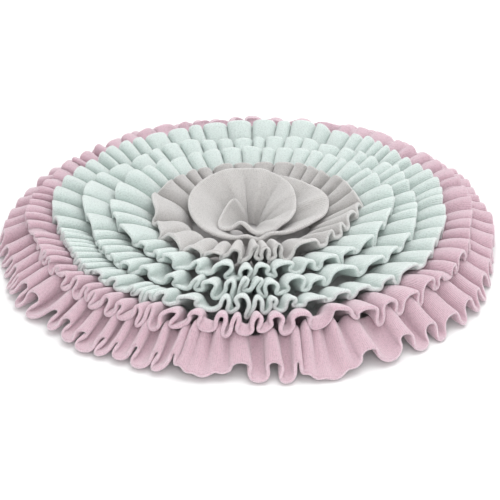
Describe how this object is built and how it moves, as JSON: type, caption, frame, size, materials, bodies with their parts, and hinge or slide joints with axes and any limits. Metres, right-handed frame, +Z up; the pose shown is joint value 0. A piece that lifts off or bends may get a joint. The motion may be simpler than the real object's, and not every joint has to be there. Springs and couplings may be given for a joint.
{
  "type": "snuffle mat",
  "caption": "Round fleece snuffle mat: rings of gathered ruffles and a rosette on a flat base cloth, with folds that hide dry food for a dog to sniff out.",
  "frame": {"origin": "centre of the base cloth's underside, on the floor that the mat lies on", "axes": "+Z up, out of the ruffled side; -Y towards the front, where the rosette's lip and petal open"},
  "size_m": [0.3811, 0.3825, 0.0373],
  "materials": {
    "base_felt": "matt pressed felt, grey",
    "pink_fleece": "brushed knitted fleece, dusty pink",
    "mint_fleece": "brushed knitted fleece, pale mint",
    "grey_fleece": "brushed knitted fleece, warm light grey"
  },
  "bodies": {
    "root": {"base_cloth": "base_felt", "ruffle_pink_outer": "pink_fleece", "ruffle_pink_inner": "pink_fleece", "ruffle_mint_outer": "mint_fleece", "ruffle_mint_middle": "mint_fleece", "ruffle_mint_inner": "mint_fleece", "ruffle_grey": "grey_fleece", "rosette_strip": "grey_fleece"}
  },
  "joints": []
}
